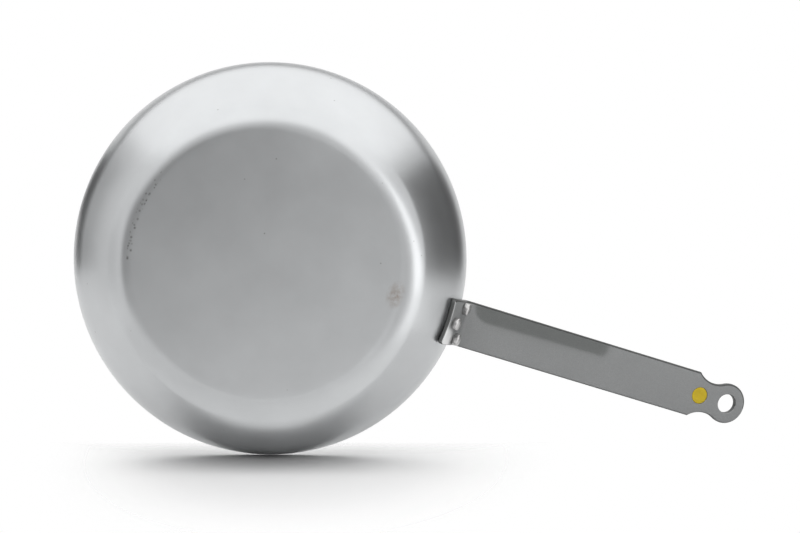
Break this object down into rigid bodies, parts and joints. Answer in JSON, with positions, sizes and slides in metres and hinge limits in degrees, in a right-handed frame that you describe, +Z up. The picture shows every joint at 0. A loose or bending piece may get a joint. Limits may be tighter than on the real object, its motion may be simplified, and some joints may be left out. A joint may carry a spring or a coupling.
{
  "type": "deep frying pan",
  "caption": "Deep round frying pan of pressed sheet steel with a rising flat strip handle, riveted flange, hanging hole and a plain marker plug.",
  "frame": {"origin": "centre of the underside of the flat base", "axes": "+Z up along the pan's axis, +X from the axis towards the handle"},
  "size_m": [0.5043, 0.28, 0.1649],
  "materials": {
    "pan_steel": "satin bare steel with faint wear",
    "handle_coat": "matte grey coat on steel strip",
    "rivet_steel": "plain turned steel",
    "plug_plastic": "plain mustard yellow"
  },
  "bodies": {
    "root": {"pan_body": "pan_steel", "handle": "handle_coat", "rivet_left": "rivet_steel", "rivet_right": "rivet_steel", "rivet_lower": "rivet_steel", "marker_plug": "plug_plastic"}
  },
  "joints": []
}
